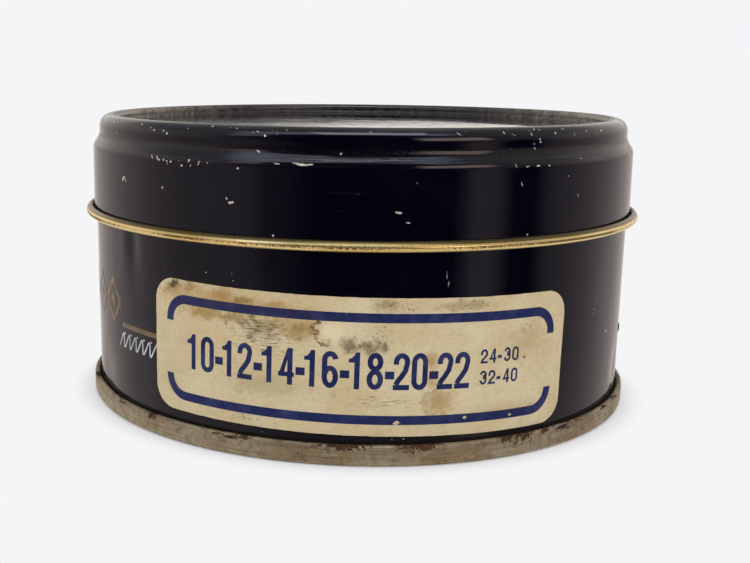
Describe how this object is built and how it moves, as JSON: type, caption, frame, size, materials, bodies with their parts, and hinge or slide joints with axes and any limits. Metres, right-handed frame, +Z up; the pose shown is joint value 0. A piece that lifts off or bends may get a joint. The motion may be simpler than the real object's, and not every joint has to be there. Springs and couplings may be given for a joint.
{
  "type": "slip-lid tin",
  "caption": "Round slip-lid storage tin in worn navy enamel, with a lift-off stepped lid, a rolled gold edge, a glued paper label and a bare seamed metal base.",
  "frame": {"origin": "centre of the base, on the plane of the bottom seam's foot", "axes": "+Z up along the tin's axis, front with the label towards -Y"},
  "size_m": [0.1234, 0.1234, 0.0619],
  "materials": {
    "enamel": "glossy navy enamel, chipped and scuffed",
    "tinplate": "bare tinplate, dull and spotted with rust",
    "gold_lacquer": "gold lacquer over tinplate, scratched and dirty",
    "label_paper": "aged cream paper, stained and rubbed",
    "label_ink": "blue printing ink on the paper label"
  },
  "bodies": {
    "tin": {"tin_wall": "enamel", "bottom_end": "tinplate", "label": "label_paper"},
    "lid": {"lid": "enamel"}
  },
  "joints": [
    {"name": "lid_lift", "type": "slide", "parent": "tin", "child": "lid", "axis": [0, 0, 1], "range_m": [0, 0.08]}
  ]
}
